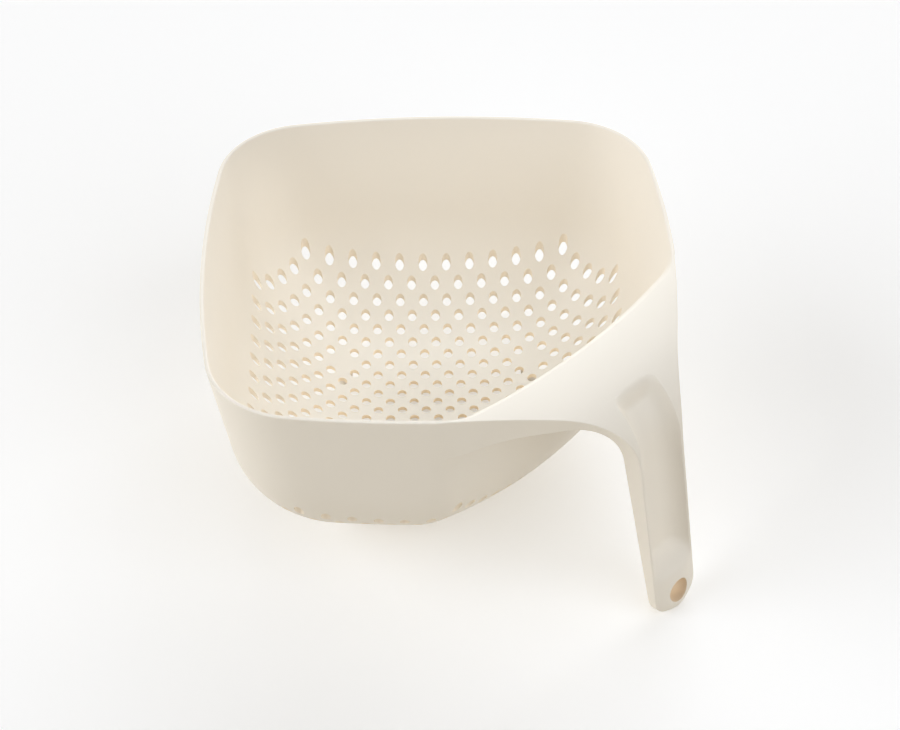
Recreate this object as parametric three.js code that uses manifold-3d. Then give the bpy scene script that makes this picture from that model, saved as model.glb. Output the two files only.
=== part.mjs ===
// Square colander in moulded polypropylene, with one corner drawn out into a drooping handle.
// Millimetres, Z up, X running out along the handle, alike on both sides of Y = 0. Lengths are set
// out from the bowl's centre on the surface it stands on. The colander is one moulding: its nodes
// are the regions of that moulding, and they meet face to face along flat cuts.
import * as THREE from "three";
import { mergeGeometries, mergeVertices } from "three/addons/utils/BufferGeometryUtils.js";
import Module from "manifold-3d";

const wasm = await Module();
wasm.setup();

// Bowl
const mouthHalf = 112; // half the inside width between two opposite sides, at the rim
const depth = 118.6; // from the inside of the floor up to the rim
const wall = 2.2; // thickness of the floor and the walls
const flatHalf = 28; // half width of the flat middle of the floor
const dishRadius = 76; // curve from the floor up into the walls
const sideBow = 500; // each side is an arc of this radius in plan
const rimCorner = 42; // inside radius of the three round corners, at the rim
const floorCorner = 13; // and at the edge of the flat floor
const rimRound = 0.8; // rounding of the rim's edges

// Blunt corner under the handle
const bluntSet = 22; // at the rim, its inside is this much nearer the bowl's centre than a side's
const bluntFloor = 26; // from the bowl's centre to it at the edge of the flat floor
const bluntDip = 3.5; // and this much less half way between
const bluntBulge = 8; // how far its middle stands out past its two ends, at the rim
const bluntFloorBulge = 4; // and at the edge of the flat floor
const bluntBelly = 6; // and this much further half way between
const rimFillet = 28; // rounding between the blunt corner and the sides, at the rim
const floorFillet = 8; // and at the edge of the flat floor
const shelfRound = 5; // rounding from the shelf down into the blunt corner

// Feet and the heights of the cuts between regions
const footHeight = 6.5; // from the surface up to the underside of the flat floor
const footTop = 8.6; // diameter of a foot at the underside of the flat floor
const footBottom = 7.6; // diameter of a foot where it stands
const footInset = 1.2; // a foot stands this much nearer the middle than the hole left out for it
const footCut = 5;
const dishRise = 8.5; // from the inside of the floor up to the pierced wall's region
const holeClear = 5.7; // from the highest holes up to the plain wall's region
const rimBand = 3; // height of the rim region
const sideRows = 6.5; // the wall's four regions part this many rows either side of the middle

// Drain holes, drawn straight up through floor and wall on one square lattice
const holePitch = 8.8;
const holeDiameter = 4.8;
const holeReach = 13; // columns and rows run from minus this to this
const holeSides = 15; // a hole is left out where column and row add up to more than this
const holeFront = 8; // the last column towards the handle
const holeTop = 53.6; // highest place on the wall, over the floor, that the holes reach
const footColumn = 8; // the feet at the back and both sides stand on this column or row
const footFrontColumn = 4; // the foot towards the handle stands nearer the middle

// Spine of the shelf and the handle's face: level, then two arcs, then straight down to the tip
const crownSet = 4.5; // the shelf starts to fall this far short of the blunt corner's inside
const crownRadius = 120;
const crownTurn = 13.3; // degrees
const bendRadius = 37.3; // the shoulder
const handleLean = 10.1; // degrees off upright, the tip further out
const tipClear = 0.5; // from the surface up to the tip
const shelfTail = 27.5; // the shelf's form begins this far inside the bowl from there
const shelfDrop = 29.3; // from the rim down to the grip's region
const endCut = 22; // height between the grip and its end

// Edges of the shelf, which carry on the line of the bowl's sides and then draw in to the grip
const edgeDraw = 2; // the edges draw in this much before they leave the line of the sides
const edgeDrawTo = 22; // distances along the spine from where it starts to fall
const edgeFrom = 30;
const edgeTo = 74;
const gripHalf = 15.5; // half width at the top of the grip
const tipHalf = 14.4; // half width where the tip starts to round
const tipRound = 12; // length over which it rounds off
const tipSquare = 2.5; // 2 for a half circle, more for a squarer tip
const sheet = 2.4; // thickness of the shelf
const skirtInset = 0.25; // the skirt keeps this far inside the faces of the bowl's sides
const skirtThick = 2.2;
const skirtStart = 23.5; // depth of the skirt where the shelf starts to fall
const skirtEdge = 3.5; // depth that it runs out to
const skirtFade = 33; // length over which it runs out
const closeFrom = 30; // between these distances the skirts close into the grip
const closeTo = 68;
const gripSide = 10.5; // depth of the grip's sides below the shoulder
const tipSide = 4.5; // and at the tip
const gripThick = 12.8; // thickness of its middle there, from the face's edges to the rounded back
const tipThick = 9; // and at the tip
const edgeRound = 0.6;

// Thumb scoop along the grip's face, and the hanging eye
const scoopDepth = 7.4;
const scoopHalf = 13.8; // half width
const scoopFrom = 35; // upper end, along the spine from where it starts to fall
const scoopCorner = 6; // rounding of the corners of its upper end
const scoopSteep = 3.2; // the higher this power, the flatter its bottom and the steeper its sides
const scoopTo = 21; // lower end, up from the tip
const scoopTopFade = 11;
const scoopEndFade = 14;
const backWall = 3; // plastic under the scoop where it crosses the shelf
const scoopMargin = 0.4; // flat face left between the scoop and the rounded edge
const faceMargin = 1;
const tipCrown = 2.8; // the face below the scoop bulges this far
const crownLap = 4; // the bulge is full this far above the scoop's lower end
const eyeDiameter = 12.6;
const tipEdge = 6; // rounding of the tip's end, in side view
const eyeEdge = 4.1; // plastic below the eye

const floorZ = footHeight + wall;
const rimZ = floorZ + depth;
const bluntReach = mouthHalf - bluntSet;
const crownStart = bluntReach - crownSet;
const dishCut = floorZ + dishRise;
const wallCut = floorZ + holeTop + holeClear;
const shelfCut = bluntReach + shelfRound;
const gripCut = rimZ - shelfDrop;
const lean = THREE.MathUtils.degToRad(handleLean);
const lerp = THREE.MathUtils.lerp;
const smooth = THREE.MathUtils.smoothstep;
const polar = (x, y, r, angle) => [x + r * Math.cos(angle), y + r * Math.sin(angle)];

const plastic = new THREE.MeshStandardMaterial({ color: 0xe9e1d2, roughness: 0.5, metalness: 0 });

function arc([x, y], r, from, to, steps) {
  const points = [];
  for (let i = 0; i < steps; i++) points.push(polar(x, y, r, lerp(from, to, i / steps)));
  return points;
}

// The radius whose facets lie half outside and half inside the arc
const straddle = (r, turn, steps) => (2 * r) / (1 + Math.cos(turn / steps / 2));

// Bowl outline at one height, anticlockwise from the middle of the blunt corner: two sides, the
// three round corners and the blunt one, each an arc and each tangent to the next.
function bowlOutline({ half, corner, blunt, bulge, fillet }) {
  const right = Math.PI / 2;
  const sideCentre = (k) => polar(0, 0, half - sideBow, (k + 0.5) * right);
  const offset = (half - sideBow) * Math.SQRT1_2;
  const cornerOut = offset + Math.sqrt((sideBow - corner) ** 2 - offset ** 2);
  const cornerCentre = (k) => polar(0, 0, cornerOut, (k + 1) * right);
  const turn = Math.atan2(cornerOut - offset, -offset) - right / 2;
  // The blunt corner's arc crosses the two sides at its ends.
  const endX = blunt - bulge;
  const endY = offset + Math.sqrt(sideBow ** 2 - (endX - offset) ** 2);
  const bow = (endY ** 2 + bulge ** 2) / (2 * bulge);
  const bluntCentre = [blunt - bow, 0];
  // The fillet's centre is where its own circle touches both arcs from inside.
  const dx = bluntCentre[0] - offset;
  const dy = -offset;
  const gap = Math.hypot(dx, dy);
  const reach = sideBow - fillet;
  const along = (gap ** 2 + reach ** 2 - (bow - fillet) ** 2) / (2 * gap);
  const across = Math.sqrt(reach ** 2 - along ** 2);
  const fx = offset + (dx * along + dy * across) / gap;
  const fy = offset + (dy * along - dx * across) / gap;
  const bluntTurn = Math.atan2(fy, fx - bluntCentre[0]);
  const sideTurn = Math.atan2(fy - offset, fx - offset);
  const side = (k, from, to) => arc(sideCentre(k), sideBow, from, to, 5);
  const facets = 4;
  const cornerFaceted = straddle(corner, right - 2 * turn, facets);
  const round = (k) =>
    arc(cornerCentre(k), cornerFaceted, (k + 0.5) * right + turn, (k + 1.5) * right - turn, facets);
  const mid = (k) => (k + 0.5) * right;
  return [
    ...arc(bluntCentre, bow, -bluntTurn, bluntTurn, 4),
    ...arc([fx, fy], fillet, bluntTurn, sideTurn, 3),
    ...side(0, sideTurn, mid(0) + turn),
    ...round(0),
    ...side(1, mid(1) - turn, mid(1) + turn),
    ...round(1),
    ...side(2, mid(2) - turn, mid(2) + turn),
    ...round(2),
    ...side(3, mid(3) - turn, 4 * right - sideTurn),
    ...arc([fx, -fy], fillet, 4 * right - sideTurn, 4 * right - bluntTurn, 3),
  ];
}

// Inside profile from the edge of the flat floor to the rim: an arc, then a straight wall tangent
// to it. A station holds the half width, the height over the floor and the surface's slope.
const wallSlope = (() => {
  let slope = Math.PI / 2;
  for (let i = 0; i < 60; i++) {
    const run = mouthHalf - flatHalf - dishRadius * Math.sin(slope);
    const rise = depth - dishRadius * (1 - Math.cos(slope));
    slope = Math.atan2(rise, run);
  }
  return slope;
})();
const dishSteps = 7;
const coarseSlope = 0.8;
const stations = [];
for (let i = 0; i <= dishSteps; i++) {
  const slope = (wallSlope * i) / dishSteps;
  const half = flatHalf + dishRadius * Math.sin(slope);
  stations.push({ half, z: dishRadius * (1 - Math.cos(slope)), slope });
}
const onWall = (z) => ({ half: mouthHalf - (depth - z) / Math.tan(wallSlope), z, slope: wallSlope });

// One ring of the bowl's surface, pushed out square to the inside surface. The blunt corner can be
// set further out than the rest.
function bowlRing({ half, z, slope }, push, { bluntOut = 0, sink = 0 } = {}) {
  const out = push * Math.sin(slope);
  const share = (half - flatHalf) / (mouthHalf - flatHalf);
  const between = 4 * share * (1 - share);
  const outline = bowlOutline({
    half: half + out,
    corner: lerp(floorCorner, rimCorner, share) + out,
    blunt: lerp(bluntFloor, bluntReach, share) - bluntDip * between + out + bluntOut,
    bulge: lerp(bluntFloorBulge, bluntBulge, share) + bluntBelly * between,
    fillet: lerp(floorFillet, rimFillet, share) + out,
  });
  const height = floorZ + z - push * Math.cos(slope) - sink;
  const skip = slope < coarseSlope ? 2 : 1; // low on the dish every second point is enough
  return outline.filter((point, i) => i % skip === 0).map(([x, y]) => [x, y, height]);
}

// Closed surface through rings, each anticlockwise about the way the rings go. Two neighbouring
// rings have as many points as each other, or one has twice as many. The two ends are closed by
// strips from side to side.
function loft(rings) {
  const starts = [];
  let total = 0;
  for (const ring of rings) {
    starts.push(total);
    total += ring.length;
  }
  const index = [];
  for (let r = 0; r + 1 < rings.length; r++) {
    const count = Math.max(rings[r].length, rings[r + 1].length);
    const at = (ring, i) => {
      const own = rings[ring].length;
      return starts[ring] + (Math.floor((i * own) / count) % own);
    };
    for (let i = 0; i < count; i++) {
      const [a, b] = [at(r, i), at(r, i + 1)];
      const [c, d] = [at(r + 1, i + 1), at(r + 1, i)];
      if (a !== b) index.push(a, b, c);
      if (c !== d) index.push(a, c, d);
    }
  }
  const close = (first, count, facing) => {
    const add = (a, b, c) => {
      const turned = facing > 0 ? [a, b, c] : [a, c, b];
      index.push(...turned.map((i) => first + i));
    };
    for (let i = 0, j = count - 1; j - i > 1; i++, j--) {
      if (j - i === 2) add(i, i + 1, j);
      else if (i < count / 4 - 1) {
        add(i, i + 1, j - 1);
        add(i, j - 1, j);
      } else {
        add(i, i + 1, j);
        add(i + 1, j - 1, j);
      }
    }
  };
  close(0, rings[0].length, -1);
  close(starts.at(-1), rings.at(-1).length, 1);
  const geometry = new THREE.BufferGeometry();
  geometry.setAttribute("position", new THREE.Float32BufferAttribute(rings.flat(2), 3));
  geometry.setIndex(index);
  return geometry;
}

// A closed geometry as a solid that can be joined and cut
function solid(geometry) {
  const bare = geometry.clone();
  bare.deleteAttribute("normal");
  bare.deleteAttribute("uv");
  const merged = mergeVertices(bare, 1e-4);
  const vertProperties = new Float32Array(merged.attributes.position.array);
  const triVerts = new Uint32Array(merged.index.array);
  return new wasm.Manifold(new wasm.Mesh({ numProp: 3, vertProperties, triVerts }));
}

function block(lowX, highX, lowZ, highZ) {
  const box = new THREE.BoxGeometry(highX - lowX, 4 * mouthHalf, highZ - lowZ);
  return solid(box.translate((lowX + highX) / 2, 0, (lowZ + highZ) / 2));
}

function meshOf(name, body) {
  const { vertProperties, triVerts, numProp } = body.getMesh();
  const position = new Float32Array((vertProperties.length / numProp) * 3);
  for (let i = 0; i * 3 < position.length; i++) {
    position.set(vertProperties.subarray(i * numProp, i * numProp + 3), i * 3);
  }
  const geometry = new THREE.BufferGeometry();
  geometry.setAttribute("position", new THREE.BufferAttribute(position, 3));
  geometry.setIndex(new THREE.BufferAttribute(new Uint32Array(triVerts), 1));
  geometry.computeVertexNormals();
  const mesh = new THREE.Mesh(geometry, plastic.clone());
  mesh.name = name;
  return mesh;
}

// The bowl's outside as a filled form, its upper edge rounded
function bowlForm() {
  const top = onWall(depth);
  const rise = wall * Math.cos(wallSlope);
  const rings = [
    ...stations.map((station) => bowlRing(station, wall)),
    bowlRing(top, wall, { sink: rimRound - rise }),
    bowlRing(top, wall - rimRound * 0.3, { sink: rimRound * 0.3 - rise }),
    bowlRing(top, wall - rimRound, { sink: rimRound * Math.cos(wallSlope) - rise }),
  ];
  return solid(loft(rings));
}

// The space inside the bowl. It flares out over the rim's inner edge, and over the shelf's.
function bowlSpace() {
  const top = onWall(depth);
  const shelf = (share) => shelfRound * (1 - Math.sqrt(1 - share ** 2));
  const round = (share) => rimRound * (1 - Math.sqrt(1 - share ** 2));
  const flare = [0, 0.5, 0.85].map((share) =>
    bowlRing(onWall(depth - shelfRound * (1 - share)), 0, { bluntOut: shelf(share) }),
  );
  const low = shelfRound - rimRound;
  const edge = [low / shelfRound, 1].map((share, i) =>
    bowlRing(onWall(depth - shelfRound * (1 - share)), round(i), { bluntOut: shelf(share) - round(i) }),
  );
  const above = bowlRing(top, rimRound, { bluntOut: shelfRound - rimRound, sink: -wall });
  flare.splice(2, 1);
  return solid(loft([...stations.map((station) => bowlRing(station, 0)), ...flare, ...edge, above]));
}

const feet = [
  { name: "foot_back", column: -footColumn, row: 0 },
  { name: "foot_left", column: 0, row: footColumn },
  { name: "foot_right", column: 0, row: -footColumn },
  { name: "foot_front", column: footFrontColumn, row: 0 },
];

const footAt = ({ column, row }) => [
  column * holePitch - Math.sign(column) * footInset,
  row * holePitch - Math.sign(row) * footInset,
];

function drainHoles() {
  const isFoot = (column, row) => feet.some((foot) => foot.column === column && foot.row === row);
  const from = footHeight - wall;
  const tall = floorZ + holeTop - from;
  const pins = [];
  for (let column = -holeReach; column <= holeFront; column++) {
    for (let row = -holeReach; row <= holeReach; row++) {
      if (Math.abs(column) + Math.abs(row) > holeSides || isFoot(column, row)) continue;
      const pin = new THREE.CylinderGeometry(holeDiameter / 2, holeDiameter / 2, tall, 6);
      pin.rotateX(Math.PI / 2);
      pin.translate(column * holePitch, row * holePitch, from + tall / 2);
      pins.push(pin);
    }
  }
  return solid(mergeGeometries(pins));
}

// Spine, walked by length from where it starts to fall: the place, and the face's direction
const crownAngle = THREE.MathUtils.degToRad(crownTurn);
const shoulderAngle = Math.PI / 2 - crownAngle - lean;
const crownLength = crownRadius * crownAngle;
const shoulderEnd = crownLength + bendRadius * shoulderAngle;
const crownCentre = [crownStart, rimZ - crownRadius];
const shoulderCentre = polar(...crownCentre, crownRadius - bendRadius, Math.PI / 2 - crownAngle);
const gripTop = polar(...shoulderCentre, bendRadius, lean);
const spineEnd = shoulderEnd + (gripTop[1] - tipClear) / Math.cos(lean);

function spine(length) {
  if (length < 0) return { x: crownStart + length, z: rimZ, face: Math.PI / 2 };
  if (length < crownLength) {
    const face = Math.PI / 2 - length / crownRadius;
    const [x, z] = polar(...crownCentre, crownRadius, face);
    return { x, z, face };
  }
  if (length < shoulderEnd) {
    const face = Math.PI / 2 - crownAngle - (length - crownLength) / bendRadius;
    const [x, z] = polar(...shoulderCentre, bendRadius, face);
    return { x, z, face };
  }
  const [x, z] = polar(...gripTop, length - shoulderEnd, lean - Math.PI / 2);
  return { x, z, face: lean };
}

// Half width of the face: on the line of the bowl's sides, then drawn in to the grip, then tapered
function sideLine(length) {
  const centre = (mouthHalf + wall - sideBow) * Math.SQRT1_2;
  const line = centre + Math.sqrt(sideBow ** 2 - (spine(length).x - centre) ** 2);
  return line - skirtInset - edgeDraw * smooth(length, -edgeDrawTo, edgeDrawTo);
}
const drawnIn = (() => {
  const step = 0.01;
  const slope = (sideLine(edgeFrom) - sideLine(edgeFrom - step)) / step;
  const start = sideLine(edgeFrom);
  const pull = (slope * (edgeTo - edgeFrom)) / 3;
  return new THREE.CubicBezierCurve(
    new THREE.Vector2(0, start),
    new THREE.Vector2(1, start + pull),
    new THREE.Vector2(2, gripHalf),
    new THREE.Vector2(3, gripHalf),
  );
})();
function faceHalf(length) {
  if (length < edgeFrom) return sideLine(length);
  if (length < edgeTo) return drawnIn.getPoint((length - edgeFrom) / (edgeTo - edgeFrom)).y;
  return lerp(gripHalf, tipHalf, Math.min((length - edgeTo) / (spineEnd - tipRound - edgeTo), 1));
}

// Section square to the spine. The shelf is a sheet with a skirt down each edge; from the shoulder
// down the skirts close into a grip with a rounded back and the scoop along its face.
function section(length) {
  const at = spine(length);
  const toTip = spineEnd - length;
  const into = Math.max(1 - toTip / tipRound, 0);
  const round = Math.max(1 - into ** tipSquare, 0.06) ** (1 / tipSquare);
  const half = faceHalf(length) * round;
  const thin = Math.sqrt(Math.max(1 - Math.max(1 - toTip / tipEdge, 0) ** 2, 0.04));
  const asGrip = smooth(length, closeFrom, closeTo);
  const skirt =
    length < 0
      ? skirtStart - (length * (skirtStart - skirtEdge)) / skirtFade
      : skirtEdge + (skirtStart - skirtEdge) * Math.exp(-length / skirtFade);
  const down = Math.max((length - shoulderEnd) / (spineEnd - shoulderEnd), 0);
  const taper = lerp(gripSide, tipSide, down);
  const middle = thin * lerp(gripThick, tipThick, down);
  const side = thin * lerp(skirt, taper, smooth(length, closeFrom, closeTo));
  const draft = ((1 - asGrip) * side * Math.SQRT2) / Math.tan(wallSlope);

  const fromTop = smooth(length, scoopFrom, scoopFrom + scoopTopFade);
  const fromEnd = smooth(toTip, scoopTo, scoopTo + scoopEndFade);
  const open = Math.min((length - scoopFrom) / scoopCorner, 1);
  const scoopRound = open > 0 ? 1 - (scoopCorner / scoopHalf) * (1 - Math.sqrt(1 - (1 - open) ** 2)) : 0;
  const scoopWidth = open > 0 ? Math.min(scoopHalf * scoopRound, half - edgeRound - scoopMargin) : 0;
  const dip = (y) => {
    const share = Math.min(Math.abs(y) / Math.max(scoopWidth, 1), 1);
    return scoopDepth * fromTop * fromEnd * (1 - share ** scoopSteep);
  };
  const swell = tipCrown * (1 - smooth(toTip, scoopTo - crownLap, scoopTo + scoopEndFade));
  const crown = (y) => swell * Math.sqrt(thin) * (1 - (y / half) ** 2);
  const faceWidth = scoopWidth > 0 ? scoopWidth : half - edgeRound - faceMargin;
  const face = [0.92, 0.75, 0.45].map((share) => share * faceWidth);

  const inner = half - draft - skirtThick * round;
  const back = (y) => {
    const grip = side + (middle - side) * (1 - (y / half) ** 2);
    return Math.max(lerp(sheet, grip, asGrip), dip(y) + lerp(backWall, 0, asGrip));
  };
  const right = [
    [half, -edgeRound],
    [half - edgeRound, 0],
    ...face.map((y) => [y, crown(y) - dip(y)]),
    [0, crown(0) - dip(0)],
  ];
  const under = [
    [half - draft, -side],
    [inner, -side],
    ...[0.97, 0.7, 0.35].map((share) => [inner * share, -back(inner * share)]),
    [0, -back(0)],
  ];
  const mirror = (points) => points.slice(0, -1).reverse().map(([y, n]) => [-y, n]);
  const left = mirror(under).map(([y, n]) => [-y, n]);
  const outline = [...right, ...mirror(right), ...under.map(([y, n]) => [-y, n]), ...left];
  const [nx, nz] = [Math.cos(at.face), Math.sin(at.face)];
  return outline.map(([y, n]) => [at.x + nx * n, y, at.z + nz * n]);
}

function handleForm() {
  const scoopEnd = spineEnd - scoopTo;
  const scoopFull = scoopFrom + scoopTopFade;
  const stretches = [
    [-shelfTail, 0, 4],
    [0, scoopFrom, 4],
    [scoopFrom, scoopFrom + scoopCorner, 3],
    [scoopFrom + scoopCorner, scoopFull, 3],
    [scoopFull, edgeTo, 5],
    [edgeTo, scoopEnd - scoopEndFade, 3],
    [scoopEnd - scoopEndFade, scoopEnd, 4],
    [scoopEnd, spineEnd - tipRound, 1],
  ];
  const stops = stretches.flatMap(([from, to, steps]) =>
    Array.from({ length: steps }, (unused, i) => lerp(from, to, i / steps)),
  );
  const toTip = [1, 0.75, 0.5, 0.3, 0.15, 0.06, 0];
  stops.push(...toTip.map((share) => spineEnd - tipRound * share));
  return solid(loft(stops.map(section)));
}

function hangingEye() {
  const at = spine(spineEnd - eyeEdge - eyeDiameter / 2);
  const eye = new THREE.CylinderGeometry(eyeDiameter / 2, eyeDiameter / 2, 6 * gripThick, 24);
  eye.rotateZ(Math.PI / 2);
  eye.rotateY(-lean);
  eye.translate(at.x, 0, at.z);
  return solid(eye);
}

function footForm(foot) {
  const [x, y] = footAt(foot);
  const taper = (footTop - footBottom) / footHeight;
  const tall = dishCut;
  const pin = new THREE.CylinderGeometry((footBottom + taper * tall) / 2, footBottom / 2, tall, 20);
  pin.rotateX(Math.PI / 2);
  pin.translate(x, y, tall / 2);
  return solid(pin);
}

// The whole moulding, then the regions it is divided into
const outside = feet.reduce((form, foot) => form.add(footForm(foot)), bowlForm().add(handleForm()));
const moulding = outside.subtract(bowlSpace()).subtract(drainHoles()).subtract(hangingEye());

const far = 4 * mouthHalf;
const across = (low, high) => moulding.intersect(block(-far, shelfCut, low, high));
const handle = (low, high) => moulding.intersect(block(shelfCut, far, low, high));

// The walls are divided between two rows of holes, into a part round each corner of the bowl.
const parting = sideRows * holePitch;
const part = (lowX, highX, lowY, highY) => {
  const box = new THREE.BoxGeometry(highX - lowX, highY - lowY, far);
  return solid(box.translate((lowX + highX) / 2, (lowY + highY) / 2, far / 4));
};
const wallParts = [
  ["back", part(-far, 0, -parting, parting)],
  ["front", part(0, far, -parting, parting)],
  ["left", part(-far, far, parting, far)],
  ["right", part(-far, far, -far, -parting)],
];
const wallNodes = (name, low, high) =>
  wallParts.map(([side, box]) => meshOf(`${name}_${side}`, across(low, high).intersect(box)));

const onFoot = (foot) => {
  const [x, y] = footAt(foot);
  const width = holePitch * 2;
  const box = new THREE.BoxGeometry(width, width, footCut * 2);
  return solid(box.translate(x, y, 0));
};

const set = new THREE.Group();
set.add(
  meshOf("strainer_floor", across(footCut, dishCut)),
  ...wallNodes("strainer_wall", dishCut, wallCut),
  ...wallNodes("bowl_wall", wallCut, rimZ - rimBand),
  meshOf("rim", across(rimZ - rimBand, far)),
  meshOf("corner_shelf", handle(gripCut, far)),
  meshOf("handle_grip", handle(endCut, gripCut)),
  meshOf("handle_end", handle(0, endCut)),
  ...feet.map((foot) => meshOf(foot.name, moulding.intersect(onFoot(foot)))),
);

// The origin is under the middle of the whole.
const bounds = new THREE.Box3().setFromObject(set);
set.position.x = -(bounds.min.x + bounds.max.x) / 2;

const colander = new THREE.Group();
colander.add(set);
export default colander;
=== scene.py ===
import math

import bpy
import numpy as np
from mathutils import Matrix, Vector
from mathutils.bvhtree import BVHTree
from mathutils.geometry import barycentric_transform


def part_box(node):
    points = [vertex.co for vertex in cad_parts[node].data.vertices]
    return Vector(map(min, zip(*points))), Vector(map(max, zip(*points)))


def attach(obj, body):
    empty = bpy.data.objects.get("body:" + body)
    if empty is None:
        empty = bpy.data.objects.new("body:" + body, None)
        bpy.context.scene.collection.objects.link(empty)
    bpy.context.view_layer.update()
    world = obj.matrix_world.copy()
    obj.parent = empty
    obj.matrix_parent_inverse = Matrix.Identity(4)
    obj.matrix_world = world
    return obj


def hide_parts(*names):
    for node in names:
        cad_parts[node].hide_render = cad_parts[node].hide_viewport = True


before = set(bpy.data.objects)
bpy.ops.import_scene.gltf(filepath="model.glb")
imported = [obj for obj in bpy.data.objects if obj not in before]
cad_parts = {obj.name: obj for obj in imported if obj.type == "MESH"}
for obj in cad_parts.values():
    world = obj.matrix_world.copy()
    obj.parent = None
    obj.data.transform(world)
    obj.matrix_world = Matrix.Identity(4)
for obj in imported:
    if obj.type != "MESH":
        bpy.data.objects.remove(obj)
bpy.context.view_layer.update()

# ---------------------------------------------------------------------------
# The bowl, a square mouth with three round corners and one blunt one, drawn down in one sweep to
# a small flat floor in cream polypropylene 2.2 mm thick. It is moulded in one shot with all the
# rest, so its skins are made here, in millimetres about its centre, and joined further down.
# ---------------------------------------------------------------------------
MOUTH_HALF = 112.0
DEPTH = 118.6
WALL = 2.2
FLAT_HALF = 28.0
DISH_RADIUS = 76.0
SIDE_BOW = 500.0
RIM_CORNER, FLOOR_CORNER = 42.0, 13.0
RIM_ROUND = 0.8
BLUNT_REACH, BLUNT_FLOOR, BLUNT_DIP = 90.0, 26.0, 3.5
BLUNT_BULGE, BLUNT_FLOOR_BULGE, BLUNT_BELLY = 8.0, 4.0, 6.0
RIM_FILLET, FLOOR_FILLET = 28.0, 8.0
SHELF_ROUND = 5.0
FOOT_HEIGHT = 6.5
FLOOR_Z = FOOT_HEIGHT + WALL
RIM_Z = FLOOR_Z + DEPTH
# How many steps the arcs of a level line, the dish and the wall above it are drawn in
BLUNT_STEPS, FILLET_STEPS, CORNER_STEPS = 10, 9, 16
SIDE_STEPS, SHORT_SIDE_STEPS = 26, 18
DISH_STEPS, WALL_STEPS = 30, 6
SLOPE_TRIES = 60
LIP_ANGLES = (12, 24, 36, 46)
TINY = 1e-12

# Which skin a face of the finished moulding comes from
OUTSIDE, HANDLE, FOOT, INSIDE, HOLE, EYE, PARTING = range(7)
skin_marks = [bpy.data.materials.new(f"skin_{k}") for k in range(7)]
skins = {}


def lerp(a, b, t):
    return a + (b - a) * t


def smooth(value, low, high):
    t = np.clip((value - low) / (high - low), 0, 1)
    return t * t * (3 - 2 * t)


def arc(centre, radius, start, stop, steps):
    angle = start + (stop - start) * np.arange(steps) / steps
    return np.stack([centre[0] + radius * np.cos(angle), centre[1] + radius * np.sin(angle)], 1)


def bowl_outline(half, corner, blunt, bulge, fillet):
    """One level line of the bowl, anticlockwise from the middle of the blunt corner's arc."""
    right = math.pi / 2
    offset = (half - SIDE_BOW) * math.sqrt(0.5)
    corner_out = offset + math.sqrt((SIDE_BOW - corner) ** 2 - offset ** 2)
    turn = math.atan2(corner_out - offset, -offset) - right / 2
    end_x = blunt - bulge
    end_y = offset + math.sqrt(SIDE_BOW ** 2 - (end_x - offset) ** 2)
    bow = (end_y ** 2 + bulge ** 2) / (2 * bulge)
    centre = (blunt - bow, 0.0)
    dx, dy = centre[0] - offset, -offset
    gap, reach = math.hypot(dx, dy), SIDE_BOW - fillet
    along = (gap ** 2 + reach ** 2 - (bow - fillet) ** 2) / (2 * gap)
    across = math.sqrt(reach ** 2 - along ** 2)
    fx = offset + (dx * along + dy * across) / gap
    fy = offset + (dy * along - dx * across) / gap
    blunt_turn = math.atan2(fy, fx - centre[0])
    side_turn = math.atan2(fy - offset, fx - offset)

    def side(k, start, stop, steps):
        angle = (k + 0.5) * right
        middle = ((half - SIDE_BOW) * math.cos(angle), (half - SIDE_BOW) * math.sin(angle))
        return arc(middle, SIDE_BOW, start, stop, steps)

    def round_corner(k):
        angle = (k + 1) * right
        middle = (corner_out * math.cos(angle), corner_out * math.sin(angle))
        return arc(middle, corner, (k + 0.5) * right + turn, (k + 1.5) * right - turn, CORNER_STEPS)

    mid = [(k + 0.5) * right for k in range(4)]
    return np.concatenate([
        arc(centre, bow, 0, blunt_turn, BLUNT_STEPS),
        arc((fx, fy), fillet, blunt_turn, side_turn, FILLET_STEPS),
        side(0, side_turn, mid[0] + turn, SHORT_SIDE_STEPS), round_corner(0),
        side(1, mid[1] - turn, mid[1] + turn, SIDE_STEPS), round_corner(1),
        side(2, mid[2] - turn, mid[2] + turn, SIDE_STEPS), round_corner(2),
        side(3, mid[3] - turn, 4 * right - side_turn, SHORT_SIDE_STEPS),
        arc((fx, -fy), fillet, -side_turn, -blunt_turn, FILLET_STEPS),
        arc(centre, bow, -blunt_turn, 0, BLUNT_STEPS),
    ])


# The slope at which a straight wall runs from the dish's curve to the edge of the mouth
wall_slope = math.pi / 2
for _ in range(SLOPE_TRIES):
    run = MOUTH_HALF - FLAT_HALF - DISH_RADIUS * math.sin(wall_slope)
    wall_slope = math.atan2(DEPTH - DISH_RADIUS * (1 - math.cos(wall_slope)), run)


def bowl_ring(height, push, blunt_out=0.0):
    """The level line at a height over the floor inside the wall, pushed out square to the wall."""
    turned = DISH_RADIUS * (1 - math.cos(wall_slope))
    if height < turned:
        slope = math.acos(1 - height / DISH_RADIUS)
        half = FLAT_HALF + DISH_RADIUS * math.sin(slope)
    else:
        slope = wall_slope
        half = MOUTH_HALF - (DEPTH - height) / math.tan(wall_slope)
    out = push * math.sin(slope)
    share = (half - FLAT_HALF) / (MOUTH_HALF - FLAT_HALF)
    between = 4 * share * (1 - share)
    flat = bowl_outline(
        half + out,
        lerp(FLOOR_CORNER, RIM_CORNER, share) + out,
        lerp(BLUNT_FLOOR, BLUNT_REACH, share) - BLUNT_DIP * between + out + blunt_out,
        lerp(BLUNT_FLOOR_BULGE, BLUNT_BULGE, share) + BLUNT_BELLY * between,
        lerp(FLOOR_FILLET, RIM_FILLET, share) + out,
    )
    level = FLOOR_Z + height - push * math.cos(slope)
    return np.column_stack([flat, np.full(len(flat), level)])


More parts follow.
